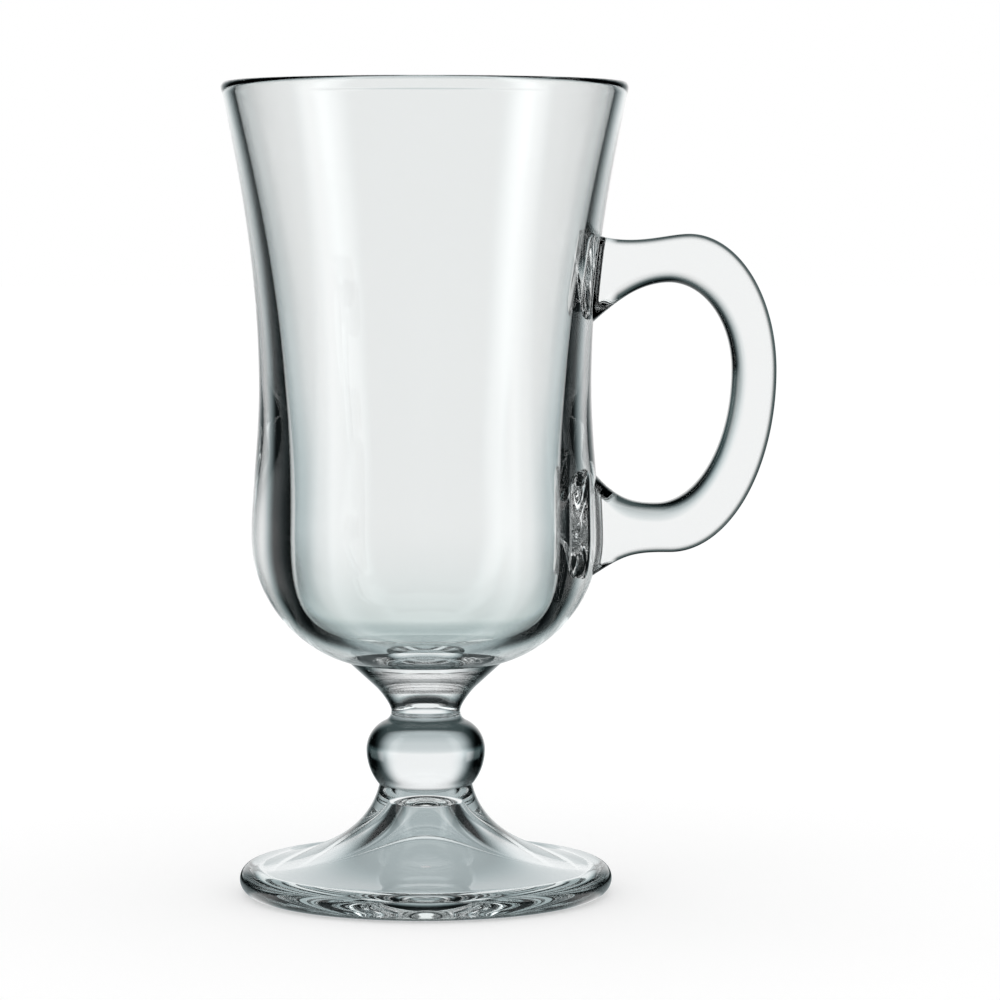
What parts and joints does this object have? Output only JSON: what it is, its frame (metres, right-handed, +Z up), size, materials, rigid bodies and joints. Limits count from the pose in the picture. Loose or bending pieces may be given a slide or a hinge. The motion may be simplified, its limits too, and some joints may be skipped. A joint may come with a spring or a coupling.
{
  "type": "irish coffee glass mug",
  "caption": "Footed clear glass mug with a waisted bowl, flared rim, ear handle, ball knop in the stem and hollow trumpet foot, for serving hot coffee with cream.",
  "frame": {"origin": "centre of the flat ring that the foot rests on, on the bowl's axis", "axes": "+Z up along the bowl's axis, +X towards the handle, +Y away from the viewer of the picture"},
  "size_m": [0.1006, 0.0738, 0.148],
  "materials": {
    "clear_glass": "clear, fire polished"
  },
  "bodies": {
    "root": {"bowl": "clear_glass", "neck": "clear_glass", "knop": "clear_glass", "foot": "clear_glass", "handle": "clear_glass"}
  },
  "joints": []
}
